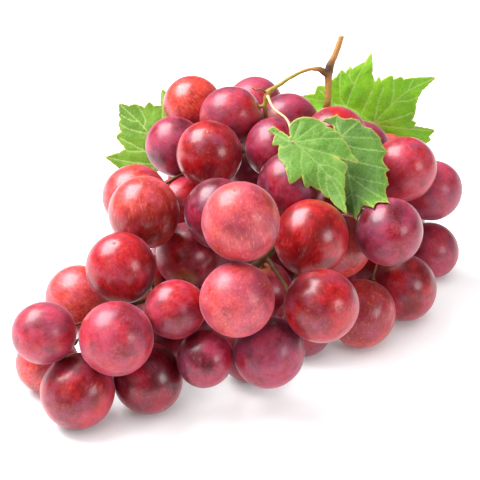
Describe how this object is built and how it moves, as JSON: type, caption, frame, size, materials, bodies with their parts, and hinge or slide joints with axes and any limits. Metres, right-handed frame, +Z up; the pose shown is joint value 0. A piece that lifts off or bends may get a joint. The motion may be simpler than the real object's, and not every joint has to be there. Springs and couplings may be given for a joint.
{
  "type": "bunch of grapes",
  "caption": "Bunch of red table grapes on its branched stem, with vine leaves, lying on its side on a surface.",
  "frame": {"origin": "on the surface that the bunch lies on, under the middle of its bounding box", "axes": "+X along the bunch from its tip to its shoulders, +Y away from its front face, +Z up"},
  "size_m": [0.216, 0.1642, 0.0978],
  "materials": {
    "berry_coral": "satin, pale coral red skin with a thin dusty bloom",
    "berry_red": "satin, red skin with a thin dusty bloom",
    "berry_crimson": "satin, dark crimson skin with a thin dusty bloom",
    "stem": "rough, green to brown, woody at the cut end",
    "leaf": "matte, green, veined and toothed"
  },
  "bodies": {
    "root": {"berry_bed_01": "berry_coral", "berry_bed_02": "berry_red", "berry_bed_03": "berry_crimson", "berry_bed_04": "berry_crimson", "berry_bed_05": "berry_crimson", "berry_bed_06": "berry_crimson", "berry_bed_07": "berry_coral", "berry_bed_08": "berry_red", "berry_bed_09": "berry_red", "berry_bed_10": "berry_red", "berry_bed_11": "berry_crimson", "berry_bed_12": "berry_red", "berry_bed_13": "berry_crimson", "berry_bed_14": "berry_red", "berry_bed_15": "berry_crimson", "berry_bed_16": "berry_red", "berry_bed_17": "berry_crimson", "berry_bed_18": "berry_coral", "berry_bed_19": "berry_red", "berry_bed_20": "berry_crimson", "berry_low_01": "berry_crimson", "berry_low_02": "berry_red", "berry_low_03": "berry_crimson", "berry_low_04": "berry_coral", "berry_low_05": "berry_red", "berry_middle_01": "berry_red", "berry_middle_02": "berry_red", "berry_middle_03": "berry_red", "berry_middle_04": "berry_red", "berry_middle_05": "berry_coral", "berry_middle_06": "berry_red", "berry_middle_07": "berry_coral", "berry_middle_08": "berry_red", "berry_middle_09": "berry_red", "berry_middle_10": "berry_crimson", "berry_middle_11": "berry_red", "berry_upper_01": "berry_red", "berry_upper_02": "berry_coral", "berry_upper_03": "berry_coral", "berry_upper_04": "berry_red", "berry_upper_05": "berry_crimson", "berry_upper_06": "berry_crimson", "berry_upper_07": "berry_red", "berry_upper_08": "berry_coral", "berry_top_01": "berry_crimson", "berry_top_02": "berry_crimson", "berry_top_03": "berry_coral", "berry_top_04": "berry_red", "berry_top_05": "berry_coral", "berry_top_06": "berry_red", "berry_top_07": "berry_red", "berry_top_08": "berry_crimson", "berry_top_09": "berry_crimson", "berry_top_10": "berry_crimson", "berry_top_11": "berry_red", "stem": "stem", "leaf_rear": "leaf", "leaf_left": "leaf", "leaf_front_light": "leaf", "leaf_front_dark": "leaf"}
  },
  "joints": []
}
